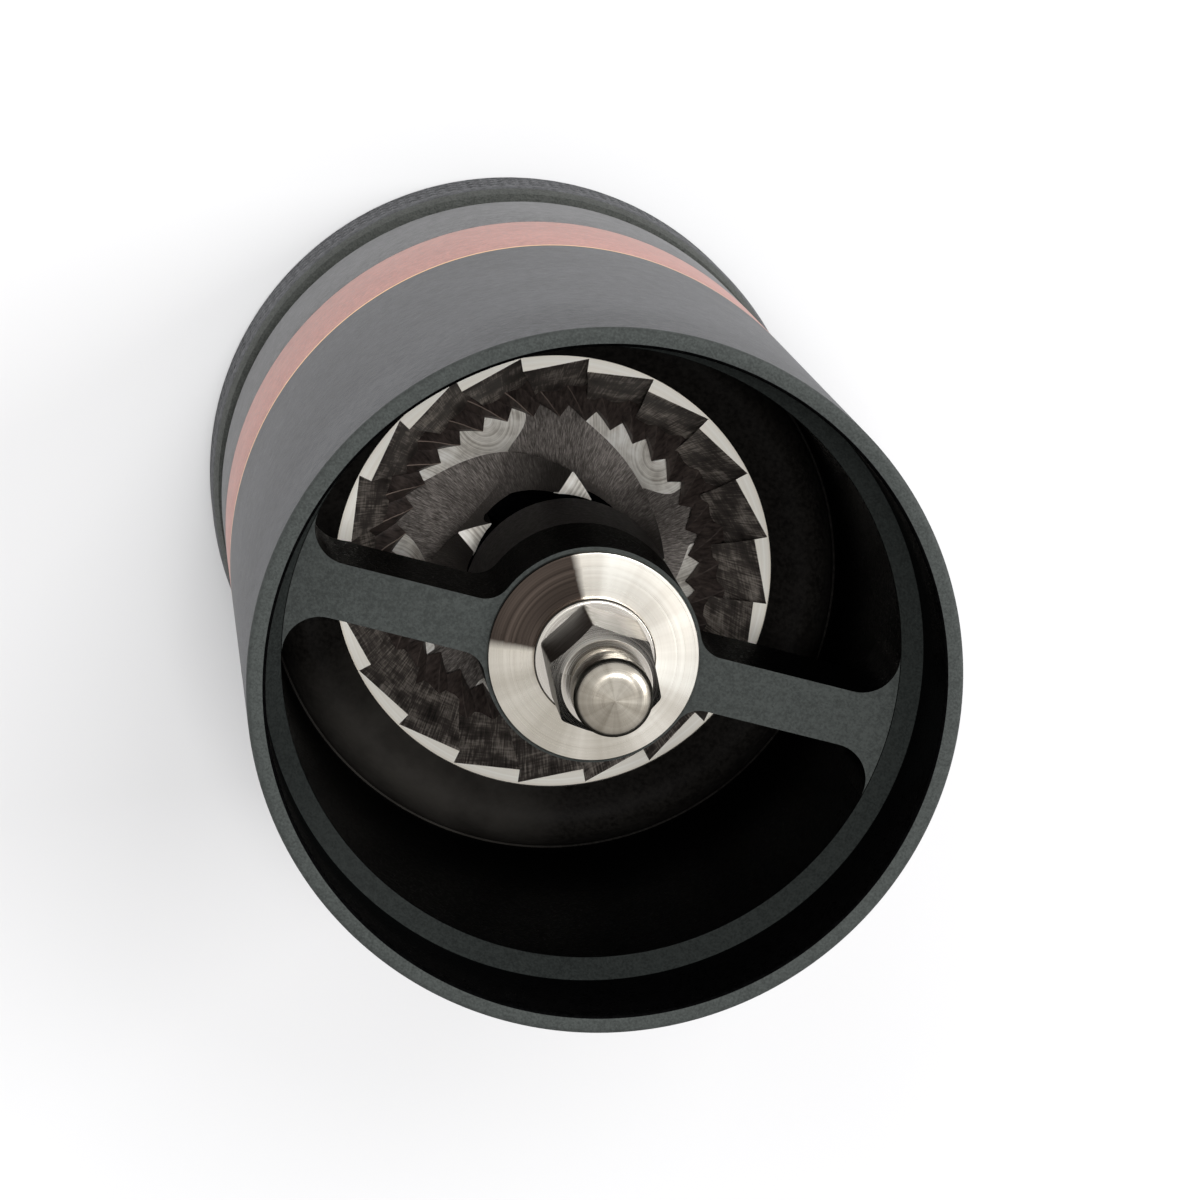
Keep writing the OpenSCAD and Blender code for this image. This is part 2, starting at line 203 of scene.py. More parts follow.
class Nodes:
    """Shorthand for wiring one material. Each method that makes a node gives back its output socket."""

    def __init__(self, m):
        self.t = m.node_tree
        self.bsdf = self.t.nodes["Principled BSDF"]
        self.coord = self.t.nodes.new("ShaderNodeTexCoord")

    def add(self, kind, **inputs):
        n = self.t.nodes.new("ShaderNode" + kind)
        for name, value in inputs.items():
            n.inputs[name].default_value = value
        return n

    def link(self, a, b):
        self.t.links.new(a, b)

    def object_coord(self):
        """Position on the piece, in metres. It travels with the piece."""
        return self.coord.outputs["Object"]

    def xyz(self):
        n = self.t.nodes.new("ShaderNodeSeparateXYZ")
        self.link(self.object_coord(), n.inputs[0])
        return n.outputs

    def noise(self, vector, scale, detail=2.0, rough=0.5, distort=0.0):
        n = self.add("TexNoise", Scale=scale, Detail=detail, Roughness=rough, Distortion=distort)
        self.link(vector, n.inputs["Vector"])
        return n.outputs["Fac"]

    def ramp(self, fac, stops):
        n = self.t.nodes.new("ShaderNodeValToRGB")
        while len(n.color_ramp.elements) < len(stops):
            n.color_ramp.elements.new(0.5)
        for e, (p, c) in zip(n.color_ramp.elements, stops):
            e.position = p
            e.color = (*c, 1)
        self.link(fac, n.inputs["Fac"])
        return n.outputs["Color"]

    def span(self, fac, a, b, c, d):
        """Maps a..b onto c..d and holds the ends."""
        n = self.t.nodes.new("ShaderNodeMapRange")
        for i, v in zip(("From Min", "From Max", "To Min", "To Max"), (a, b, c, d)):
            n.inputs[i].default_value = v
        self.link(fac, n.inputs["Value"])
        return n.outputs["Result"]

    def plug(self, value, socket):
        """Sets a number or a colour on a socket, or links another socket to it."""
        if isinstance(value, tuple):
            socket.default_value = (*value, 1)
        elif isinstance(value, (int, float)):
            socket.default_value = value
        else:
            self.link(value, socket)

    def math(self, op, a, b=None):
        n = self.t.nodes.new("ShaderNodeMath")
        n.operation = op
        self.plug(a, n.inputs[0])
        if b is not None:
            self.plug(b, n.inputs[1])
        return n.outputs[0]

    def plus(self, *terms):
        total = terms[0]
        for term in terms[1:]:
            total = self.math("ADD", total, term)
        return total

    def times(self, a, b):
        return self.math("MULTIPLY", a, b)

    def mix(self, fac, a, b):
        n = self.t.nodes.new("ShaderNodeMix")
        n.data_type = "RGBA"
        for i, value in ((0, fac), (6, a), (7, b)):
            self.plug(value, n.inputs[i])
        return n.outputs[2]

    def bump(self, height, strength, distance):
        n = self.add("Bump", Strength=strength, Distance=distance)
        self.link(height, n.inputs["Height"])
        self.link(n.outputs["Normal"], self.bsdf.inputs["Normal"])

    def set(self, socket, value):
        self.link(value, self.bsdf.inputs[socket])

    def polar(self):
        """Radius, angle in radians and height about the part's axis, from object coordinates."""
        x, y, z = self.xyz()
        r = self.math("SQRT", self.plus(self.times(x, x), self.times(y, y)))
        return r, self.math("ARCTAN2", y, x), z

    def combine(self, x, y, z):
        n = self.t.nodes.new("ShaderNodeCombineXYZ")
        for i, value in enumerate((x, y, z)):
            self.plug(value, n.inputs[i])
        return n.outputs[0]

    def radial_tangent(self):
        n = self.t.nodes.new("ShaderNodeTangent")
        n.direction_type = "RADIAL"
        n.axis = "Z"
        self.link(n.outputs[0], self.bsdf.inputs["Tangent"])


def darker_spec(m, level):
    m.node_tree.nodes["Principled BSDF"].inputs["Specular IOR Level"].default_value = level


def painted_highlight_toward(m, direction, a, b, color):
    """Paints a highlight: a lighter colour brought in, in patches, on the side of the part that faces one way.

    a and b are where it starts and where it is full, as the cosine from that direction.
    """
    w = Nodes(m)
    socket = w.bsdf.inputs["Base Color"]
    old = socket.links[0].from_socket
    x, y, _ = w.xyz()
    r = w.polar()[0]
    ux, uy = w.math("DIVIDE", x, r), w.math("DIVIDE", y, r)
    toward = w.plus(w.times(ux, direction[0]), w.times(uy, direction[1]))
    # the highlight comes and goes in noise patches
    patches = w.span(w.noise(w.object_coord(), 260, 3, 0.6), 0.3, 0.6, 0.5, 1.0)
    w.link(w.mix(w.times(w.span(toward, a, b, 0.0, 1.0), patches), old, color), socket)


def blasted(name, dark, light, rough, metallic=0.85, grain=5200, contrast=0.1, relief=0.5):
    """Bead-blasted surface: fine grain over two broader variations of tone."""
    m = material(name, dark, metallic, rough)
    w = Nodes(m)
    v = w.object_coord()
    fine = w.noise(v, grain, 2, 0.6)
    middle = w.noise(v, grain * 0.35, 2, 0.5)
    broad = w.noise(v, 60, 2, 0.5)
    tone = w.plus(w.times(fine, 0.62), w.times(middle, 0.23), w.times(broad, 0.15))
    w.set("Base Color", w.ramp(tone, [(0.5 - contrast, dark), (0.5 + contrast, light)]))
    w.set("Roughness", w.span(fine, 0.3, 0.7, rough - 0.07, rough + 0.09))
    w.bump(fine, relief, 0.00006)
    return m


def turned_metal(name, dark, light, rough, metallic=1.0, aniso=0.75, pitch=9000):
    """Metal with turning marks that run round the axis."""
    m = material(name, dark, metallic, rough, aniso=aniso)
    w = Nodes(m)
    r, a, z = w.polar()
    rings = w.combine(r, w.times(a, 0.00002), z)
    fine = w.noise(rings, pitch, 2, 0.6)
    w.set("Base Color", w.ramp(fine, [(0.3, dark), (0.7, light)]))
    w.set("Roughness", w.span(fine, 0.3, 0.7, rough - 0.05, rough + 0.09))
    w.bump(fine, 0.12, 0.00002)
    w.radial_tangent()
    return m


MAT_BODY = blasted("body_blasted", (0.022, 0.0225, 0.0245), (0.108, 0.11, 0.116), 0.5, 0.3, 3000, 0.14, 1.0)
darker_spec(MAT_BODY, 0.2)
# painted light: the body's dark blasted finish in a lighter copy, for the skirt and the cup, for the light and
# reflection that fall on the skirt
MAT_SKIRT_LIT = blasted("skirt_blasted_lit", (0.06, 0.06, 0.0615), (0.19, 0.19, 0.193), 0.5, 0.3, 3000, 0.14, 1.0)
darker_spec(MAT_SKIRT_LIT, 0.2)
MAT_COPPER = blasted("copper_blasted", (0.31, 0.15, 0.125), (0.56, 0.29, 0.25), 0.45, 0.6, 3000, 0.15, 0.8)
darker_spec(MAT_COPPER, 0.3)
MAT_FACE = blasted("face_satin", (0.028, 0.031, 0.0295), (0.047, 0.052, 0.0495), 0.55, 0.15, 5000)
darker_spec(MAT_FACE, 0.12)
# painted shade: the face's satin finish in a darker copy for the ledge, deep in the recess
MAT_LEDGE_SHADED = blasted("ledge_satin_shaded", (0.01, 0.0115, 0.011), (0.018, 0.0205, 0.0195), 0.55, 0.1, 5000)
darker_spec(MAT_LEDGE_SHADED, 0.05)
MAT_BORE = blasted("bore_black", (0.0004, 0.0004, 0.00045), (0.0014, 0.0014, 0.0015), 0.32, 0.0, 3000)
MAT_HUB = blasted("hub_black", (0.012, 0.0102, 0.0098), (0.026, 0.0225, 0.0215), 0.45, 0.0, 2600)
MAT_CLAMP = blasted("clamp_black", (0.0035, 0.0031, 0.0028), (0.009, 0.0082, 0.0074), 0.55, 0.0, 2600)
MAT_DARK_RING = blasted("ring_dark", (0.045, 0.048, 0.044), (0.085, 0.089, 0.082), 0.42, 0.7)


def faced_steel(name, dark, middle, light, rough, turn, with_dark_reflection):
    """Faced stainless with painted reflections: painted fans of light and dark round its turning marks, a
    painted lighter side, and, when asked, a painted dark reflection on one side.
    """
    m = turned_metal(name, dark, light, rough, aniso=0.6)
    w = Nodes(m)
    r = w.polar()[0]
    x, y, _ = w.xyz()
    ux, uy = w.math("DIVIDE", x, r), w.math("DIVIDE", y, r)
    # painted reflections: fans of light and dark put into the colour
    fans = w.noise(w.combine(ux, uy, turn), 1.8, 4, 0.5)
    rings = w.noise(w.combine(r, 0.0, 0.0), 2600, 2, 0.5)
    toward = w.plus(w.times(ux, PAINTED_WEDGE_DIRECTION[0]), w.times(uy, PAINTED_WEDGE_DIRECTION[1]))
    edge = w.plus(toward, w.times(w.math("SUBTRACT", rings, 0.5), 0.03))
    # painted dark reflection: a dark sector on one side, its edge frayed by the rings
    dark_reflection_mask = w.span(edge, 0.785, 0.84, 0.0, 1.0)
    # painted light: the tone brighter toward one side, where the light falls
    painted_lit_side = w.plus(w.times(ux, 0.05), w.times(uy, 0.1))
    tone = w.plus(w.plus(w.times(fans, 0.8), w.times(rings, 0.2)), painted_lit_side)
    bright = w.ramp(tone, [(0.32, dark), (0.5, middle), (0.66, light)])
    shade = w.ramp(rings, [(0.35, (0.03, 0.023, 0.019)), (0.65, (0.085, 0.066, 0.055))])
    w.set("Base Color", w.mix(dark_reflection_mask, bright, shade) if with_dark_reflection else bright)
    return m


def ground_hexagon():
    """Ground stainless flats with painted shade: darker on the side that looks into the shaded bore."""
    m = turned_metal("stainless_ground", (0.26, 0.235, 0.21), (0.4, 0.365, 0.33), 0.36, aniso=0.0, pitch=3000)
    w = Nodes(m)
    x, y, _ = w.xyz()
    # painted shade: the flats' colour darker toward one side
    side = w.plus(w.times(x, -220), w.times(y, 64))
    grain = w.noise(w.object_coord(), 1500, 3, 0.6)
    tone = w.plus(side, w.times(w.math("SUBTRACT", grain, 0.5), 0.5))
    w.set("Base Color", w.ramp(w.span(tone, -0.7, 0.9, 0.0, 1.0), [
        (0.0, (0.5, 0.46, 0.41)), (0.3, (0.3, 0.27, 0.24)), (0.54, (0.055, 0.048, 0.04)),
        (0.83, (0.05, 0.043, 0.036)), (1.0, (0.03, 0.026, 0.022))]))
    return m


# both carry painted reflection fans and a painted lighter side; the cap washer also carries the painted dark
# reflection
MAT_STAINLESS = faced_steel(
    "stainless_faced", (0.54, 0.5, 0.43), (0.74, 0.695, 0.62), (1.0, 0.97, 0.89), 0.3, 0.0, True)
MAT_PILOT = faced_steel(
    "stainless_pilot", (0.24, 0.212, 0.172), (0.38, 0.345, 0.29), (0.56, 0.52, 0.45), 0.3, 0.7, False)
MAT_POLISHED = turned_metal("stainless_polished", (0.56, 0.52, 0.47), (0.74, 0.7, 0.64), 0.24, aniso=0.55)
MAT_HEX = ground_hexagon()
MAT_LAND = turned_metal(
    "burr_land", (0.82, 0.76, 0.66), (1.0, 0.98, 0.91), 0.34, metallic=0.3, aniso=0.3, pitch=2600)


def cut_steel(name, dark, light, rough, along, across):
    """Machined steel. along and across set how fine the scratches are round the axis and across it."""
    blots = 0.28
    middle = tuple(0.5 * (d + l) for d, l in zip(dark, light))
    m = material(name, dark, 0.45, rough)
    w = Nodes(m)
    r, a, z = w.polar()
    v = w.combine(w.times(a, along), w.times(z, across), w.times(r, across))
    lines = w.noise(v, 1.0, 3, 0.65, 0.15)
    blot = w.noise(w.object_coord(), 700, 3, 0.6)
    tone = w.plus(w.times(lines, 1 - blots), w.times(blot, blots))
    w.set("Base Color", w.ramp(tone, [(0.36, dark), (0.52, middle), (0.66, light)]))
    w.set("Roughness", w.span(lines, 0.3, 0.7, rough - 0.08, rough + 0.12))
    w.bump(lines, 0.4, 0.00005)
    return m


def hatched(name, dark, middle, light, rough):
    """Milled facets: cutter marks along the facet crossed by grinding scratches."""
    m = material(name, middle, 0.45, rough)
    w = Nodes(m)
    _, a, z = w.polar()
    slant = w.plus(z, w.times(a, 0.0012))
    along = w.noise(w.combine(w.times(a, 9), w.times(slant, 3800), 0.0), 1.0, 3, 0.6, 0.1)
    down = w.noise(w.combine(w.times(a, 130), w.times(slant, 330), 3.0), 1.0, 3, 0.6, 0.1)
    blot = w.noise(w.object_coord(), 380, 3, 0.6)
    lines = w.plus(w.times(along, 0.35), w.times(down, 0.65))
    tone = w.plus(w.times(lines, 0.6), w.times(blot, 0.4))
    w.set("Base Color", w.ramp(tone, [(0.36, dark), (0.5, middle), (0.66, light)]))
    w.set("Roughness", w.span(lines, 0.35, 0.65, rough - 0.08, rough + 0.12))
    w.bump(lines, 0.6, 0.00008)
    return m


def fluted():
    """Hollow-ground flutes: short cutter dashes down the flute, with painted shade that darkens it toward the
    top.
    """
    m = material("burr_flute", (0.3, 0.27, 0.25), 0.4, 0.4)
    w = Nodes(m)
    r, a, z = w.polar()
    dash = w.noise(w.combine(w.times(a, 110), w.times(z, 1500), w.times(r, 1300)), 1.0, 3, 0.7, 0.3)
    broad = w.noise(w.object_coord(), 170, 2, 0.5)
    tone = w.plus(w.times(dash, 0.75), w.times(broad, 0.25))
    metal = w.ramp(tone, [
        (0.38, (0.08, 0.069, 0.062)), (0.5, (0.185, 0.166, 0.152)), (0.64, (0.42, 0.38, 0.35))])
    # painted shade: near black toward the flute's top, where the hub shades it
    w.set("Base Color", w.mix(w.span(z, 0.0508, 0.0575, 0.0, 0.9), metal, (0.02, 0.017, 0.015)))
    w.set("Roughness", w.span(dash, 0.3, 0.7, 0.32, 0.5))
    w.bump(dash, 0.6, 0.00008)
    return m


def swept_land():
    """Ground lands of the cone: bright steel with the grinder's arcs about one spot on each of the five."""
    m = material("cone_land", (0.85, 0.82, 0.76), 0.2, 0.36)
    w = Nodes(m)
    r, a, _ = w.polar()
    local = w.math("FLOORED_MODULO", w.plus(a, TAU), TAU / FLUTES)
    lx, ly = w.times(r, w.math("COSINE", local)), w.times(r, w.math("SINE", local))
    dx, dy = w.math("SUBTRACT", lx, ARC_CENTRE[0]), w.math("SUBTRACT", ly, ARC_CENTRE[1])
    reach = w.math("SQRT", w.plus(w.times(dx, dx), w.times(dy, dy)))
    arcs = w.noise(w.combine(w.times(reach, 5200), w.times(r, 90), 0.0), 1.0, 3, 0.6)
    broad = w.noise(w.object_coord(), 420, 3, 0.6)
    tone = w.plus(w.times(arcs, 0.5), w.times(broad, 0.5))
    w.set("Base Color", w.ramp(tone, [
        (0.36, (0.36, 0.325, 0.28)), (0.5, (0.8, 0.765, 0.7)), (0.62, (1.0, 0.98, 0.93))]))
    w.set("Roughness", w.span(arcs, 0.3, 0.7, 0.28, 0.42))
    w.bump(arcs, 0.35, 0.00005)
    return m


MAT_FACET = hatched("burr_facet", (0.015, 0.0125, 0.0115), (0.1, 0.085, 0.076), (0.64, 0.57, 0.5), 0.42)
MAT_CONE_LAND = swept_land()
MAT_FLUTE = fluted()
MAT_FINE = cut_steel("burr_fine", (0.02, 0.0155, 0.014), (0.1, 0.078, 0.069), 0.45, 60, 900)
MAT_STEP = cut_steel("burr_step", (0.02, 0.015, 0.0135), (0.09, 0.07, 0.062), 0.45, 60, 1200)
MAT_RIDGE = cut_steel("burr_ridge", (0.035, 0.027, 0.024), (0.11, 0.086, 0.076), 0.4, 60, 1200)
# painted highlight: the ridges lighter on the side toward the left, where the light falls
painted_highlight_toward(MAT_RIDGE, (-0.92, 0.39), 0.35, 0.85, (0.32, 0.25, 0.21))
# painted highlight: a lighter mottled patch on the clamp ring's lower side, where its glossy slope catches the
# light
painted_highlight_toward(MAT_CLAMP, (-0.342, -0.94), 0.78, 0.98, (0.03, 0.0275, 0.0245))
darker_spec(MAT_BORE, 0.004)
darker_spec(MAT_HUB, 0.25)
darker_spec(MAT_CLAMP, 0.08)
MAT_STEEL = turned_metal("plain_steel", (0.35, 0.35, 0.35), (0.55, 0.55, 0.55), 0.3)
MAT_ALU = turned_metal("plain_aluminium", (0.45, 0.45, 0.46), (0.62, 0.62, 0.63), 0.38)
MAT_BRASS = turned_metal("cage_brass", (0.45, 0.33, 0.15), (0.65, 0.5, 0.26), 0.35)
MAT_RUBBER = blasted("seal_rubber", (0.01, 0.01, 0.01), (0.025, 0.025, 0.025), 0.6, 0.0, 1800)


# ------------------------------------------------------------------ housing
def hopper_shell():
    """The body: outside, rim, lid recess, ledge and bore."""
    spigot_r, seat_r, foot_z = 26.6, 25.4, SHELF_Z + 0.1
    p = [(seat_r, foot_z), (spigot_r, foot_z), (spigot_r, SLEEVE_TOP), (BODY_R, SLEEVE_TOP), (BODY_R, RIM_Z),
         (RECESS_R, RIM_Z), (RECESS_R, LEDGE_Z), (HOPPER_R, BRIDGE_TOP), (HOPPER_R, SEAT_Z), (seat_r, SEAT_Z)]
    kinds = [1, 1, 1, 0, 2, 1, 3, 1, 1, 1]
    radii = {3: 0.12, 4: 0.45, 5: 0.25, 6: 0.1, 7: 0.1}
    steps = 5
    prof, mats = [], []
    for i in range(len(p)):
        sub = rounded(p, {i: radii.get(i, 0)}, steps)
        n = steps + 1 if radii.get(i) else 1
        prof += sub[i:i + n]
        mats += [kinds[i]] * n
    return lathe("hopper_shell", prof, [MAT_BODY, MAT_BORE, MAT_FACE, MAT_LEDGE_SHADED], mats)


piece(hopper_shell(), "housing", "hopper_body")


def arc(cx, cy, r, a0, a1, steps):
    """Points along an arc, both ends included."""
    return [(cx + r * math.cos(a0 + (a1 - a0) * i / steps), cy + r * math.sin(a0 + (a1 - a0) * i / steps))
            for i in range(steps + 1)]


def bridge():
    """The two arms with their fillets, as one plate bored for the upper bearing."""
    arm_w, foot, root, wall = 4.5, 3.0, 2.2, HOPPER_R - 0.02
    fy, ry = arm_w / 2 + foot, arm_w / 2 + root
    fx, rx = math.sqrt((wall - foot) ** 2 - fy * fy), math.sqrt((HUB_R + root) ** 2 - ry * ry)
    fa, ra = math.atan2(fy, fx), math.atan2(ry, rx)
    quarter = arc(0, 0, HUB_R, math.pi / 2, ra, 16)[:-1] + arc(rx, ry, root, math.pi + ra, 1.5 * math.pi, 10)
    quarter += arc(fx, fy, foot, -math.pi / 2, fa, 14) + arc(0, 0, wall, fa, 0, 10)[1:]
    half = quarter + [(x, -y) for x, y in reversed(quarter[:-1])]
    other = [(-x, -y) for x, y in half]
    outline = half[:-1] + other[:-1]
    n, turn, cols = len(outline), len(half) - 1, 96
    bore = arc(0, 0, HUB_BORE_R, math.pi / 2, math.pi / 2 - TAU, cols)[:-1]
    z0, z1 = BRIDGE_TOP - HUB_PLATE, BRIDGE_TOP
    verts = [(x, y, z) for z in (z0, z1) for x, y in outline + bore]
    layer = n + cols
    right = list(range(turn + 1)) + [n + j for j in range(cols // 2, -1, -1)]
    left = list(range(turn, n)) + [0, n] + [n + j for j in range(cols - 1, cols // 2 - 1, -1)]
    faces = [tuple(right), tuple(left), tuple(v + layer for v in right), tuple(v + layer for v in left)]
    faces += [(i, (i + 1) % n, layer + (i + 1) % n, layer + i) for i in range(n)]
    faces += [(n + j, n + (j + 1) % cols, layer + n + (j + 1) % cols, layer + n + j) for j in range(cols)]
    arms = new_mesh("bridge_arms", verts, faces, [MAT_BORE, MAT_FACE], [0, 0, 1, 1] + [0] * (n + cols), 35)
    m = arms.modifiers.new("edge", "BEVEL")
    m.width, m.segments, m.limit_method, m.angle_limit = 0.22 * MM, 3, "ANGLE", math.radians(50)
    return arms


def hub():
    """The hub below the arms, with the lower bearing's pocket and the step that it seats on."""
    step_r, step_z, top = 5.4, HUB_BOTTOM + 5.3, BRIDGE_TOP - HUB_PLATE + 0.1
    return lathe("hub_sleeve", rounded(
        [(step_r, step_z), (HUB_BORE_R, step_z), (HUB_BORE_R, HUB_BOTTOM), (HUB_R, HUB_BOTTOM), (HUB_R, top),
         (step_r, top)], {3: 0.6}), [MAT_HUB])


bridge_arms, hub_turned = bridge(), hub()
piece(bridge_arms, "housing", "bearing_bridge")
piece(hub_turned, "housing", "bearing_bridge")

MAT_GLINT = turned_metal("copper_bevel", (0.85, 0.5, 0.26), (0.98, 0.66, 0.38), 0.2, pitch=4000)
sleeve = lathe("sleeve_band", rounded(
    [(SLEEVE_IN_R, SLEEVE_BOTTOM), (BODY_R, SLEEVE_BOTTOM), (BODY_R, SLEEVE_TOP - SLEEVE_GAP),
     (SLEEVE_IN_R, SLEEVE_TOP - SLEEVE_GAP)],
    {1: 0.12, 2: 0.28}), [MAT_COPPER, MAT_GLINT], [0] * 6 + [1] * 4 + [0] * 2)
piece(sleeve, "housing", "copper_sleeve")

skirt = lathe("skirt_shell", rounded(
    [(SKIRT_IN_R, SKIRT_BOTTOM), (BODY_R, SKIRT_BOTTOM), (BODY_R, SLEEVE_BOTTOM - SLEEVE_GAP),
     (SLEEVE_IN_R, SLEEVE_BOTTOM - SLEEVE_GAP), (SLEEVE_IN_R, SHELF_Z), (SKIRT_IN_R, SHELF_Z)],
    {1: 0.35, 2: 0.1}), [MAT_SKIRT_LIT])
piece(skirt, "housing", "lower_skirt")


def clamp_ring():
    """The dark domed ring that leads the beans to the burrs and holds the ring burr down."""
    in_r, out_r, seat_r, lip, steps = 19.1, HOPPER_R - 0.2, CARRIER_SEAT_R, BURR_TOP + 0.35, 24
    dome = []
    for i in range(steps + 1):
        t = i / steps
        dome.append((out_r + (in_r - out_r) * t,
                     SEAT_Z + 0.1 + (lip - SEAT_Z - 0.1) * t + 2.1 * math.sin(math.pi * t ** 0.8)))
    prof = [(in_r, BURR_TOP), (BURR_R + 0.15, BURR_TOP), (BURR_R + 0.15, SEAT_Z - 1), (seat_r, SEAT_Z - 1),
            (seat_r, SEAT_Z - 0.05), (out_r, SEAT_Z - 0.05)] + dome
    return lathe("clamp_funnel", prof, [MAT_CLAMP])


piece(clamp_ring(), "housing", "burr_clamp_ring")

carrier = lathe("carrier_turned", rounded(
    [(18.2, CARRIER_BOTTOM), (CARRIER_SEAT_R, CARRIER_BOTTOM), (CARRIER_SEAT_R, CARRIER_TOP),
     (20.05, CARRIER_TOP), (20.05, 36.45), (18.2, 36.45)], {0: 0.3, 1: 0.3}), [MAT_ALU])
piece(carrier, "housing", "burr_carrier")


# ------------------------------------------------------------------ burrs
def stitch(name, rings, mats, mat_of=None, sharp=25):
    """Joins rings of (r, angle, z), all of one length, into a closed tube whose last ring meets the first."""
    cols, n = len(rings[0]), len(rings)
    verts = [(r * math.cos(a), r * math.sin(a), z) for ring in rings for r, a, z in ring]
    faces, fm = [], []
    for k in range(n):
        p, q = k * cols, (k + 1) % n * cols
        for i in range(cols):
            j = (i + 1) % cols
            faces.append((p + i, p + j, q + j, q + i))
            fm.append(mat_of(k, i) if mat_of else 0)
    return new_mesh(name, verts, faces, mats, fm, sharp)


def lerp(a, b, t):
    return a + (b - a) * t


def coarse_ring():
    """Upper half of the ring burr: straight facets under pointed lands."""
    pitch, phase, steps, eps = TAU / COARSE_TEETH, math.radians(5.6), 8, math.radians(0.03)
    top, foot = (18.95, 17.8), (15.95, 14.65)      # radii at a facet's two ends, at its top and at its foot
    foot_z, twist, edge = 49.0, math.radians(-4.5), 0.045

    def chord(t, f):
        """Radius of a straight facet at the fraction f of its width."""
        r0, r1 = lerp(top[0], foot[0], t), lerp(top[1], foot[1], t)
        a = pitch * f
        return r0 * r1 * math.sin(pitch) / (r0 * math.sin(a) + r1 * math.sin(pitch - a))

    def ring(t, z, out=0.0):
        pts = []
        for i in range(COARSE_TEETH):
            for k in range(steps + 1):
                f = k / steps
                nudge = eps if k == 0 else -eps if k == steps else 0
                pts.append((chord(t, f) + out, phase + pitch * (i + f) + nudge + twist * t, z))
        return pts

    def plain(r, z):
        return [(r, a, z) for _, a, _ in ring(0, z)]

    rings = [plain(BURR_R, foot_z), plain(BURR_R, BURR_TOP - 0.1), plain(BURR_R - 0.1, BURR_TOP),
             ring(0, BURR_TOP, edge), ring(0, BURR_TOP - edge)]
    drops = 7
    rings += [ring(t / drops, lerp(BURR_TOP - edge, foot_z, t / drops)) for t in range(1, drops + 1)]

    def mat_of(k, i):
        wall = i % (steps + 1) == steps
        if k in (1, 2, 3):
            return 1 if k == 3 else 0
        return 2 if wall else 1
    return stitch("ring_burr_coarse", rings, [MAT_LAND, MAT_FACET, MAT_STEP], mat_of, 20)


def fine_ring():
    """Lower half of the ring burr: overlapping fine teeth round the throat."""
    pitch, phase = TAU / FINE_TEETH, math.radians(1.4)
    tip_u = 0.28
    us = [0.004, 0.09, 0.18, tip_u - 0.02, tip_u + 0.02, 0.4, 0.52, 0.64, 0.76, 0.88, 0.996]
    throat_z, throat_r = 48.9, 12.5
    outer_r, outer_z = 17.4, 50.4

    def saw(u):
        """Height of one tooth's outline: 1 in the gullet, 0 on the tip."""
        if u < tip_u - 0.02:
            return 1 - u / (tip_u - 0.02)
        if u < tip_u + 0.021:
            return 0.0
        return (u - tip_u - 0.02) / (1 - tip_u - 0.02)

    def ring(r, depth, z, twist, lift=0.0):
        return [(r + depth * saw(u), phase + pitch * (i + u) + math.radians(twist), z + lift * saw(u))
                for i in range(FINE_TEETH) for u in us]

    def plain(r, z, twist):
        return [(r, a, z) for _, a, _ in ring(r, 0, z, twist)]

    rings = [plain(BURR_R - 0.1, BURR_BOTTOM, -9), plain(BURR_R, BURR_BOTTOM + 0.1, -9),
             plain(BURR_R, outer_z, 15), plain(outer_r + 0.6, outer_z, 15)]
    rises = 6
    for k in range(rises):
        t = 1 - k / rises
        rings.append(ring(lerp(throat_r, outer_r, t), lerp(1.05, 0.6, t), lerp(throat_z, outer_z, t), 15 * t,
                          -lerp(0.25, 0.7, min(1, t * 3))))
    falls = 6
    for k in range(falls + 1):
        t = k / falls
        z = lerp(throat_z - 0.45, BURR_BOTTOM, t * t)
        flare = 1 - (1 - t) ** 3
        rings.append(ring(lerp(throat_r + 0.15, 16.6, max(flare * 0.72, t)), lerp(1.05, 0.5, t), z, -9 * t))
    n = len(us)

    def mat_of(k, i):
        if k < 3 or k == len(rings) - 1:
            return 0
        u = i % n
        return 2 if u == 3 else 1 if u > 3 else 3
    return stitch("ring_burr_fine", rings, [MAT_FACET, MAT_FINE, MAT_RIDGE, MAT_STEP], mat_of, 18)


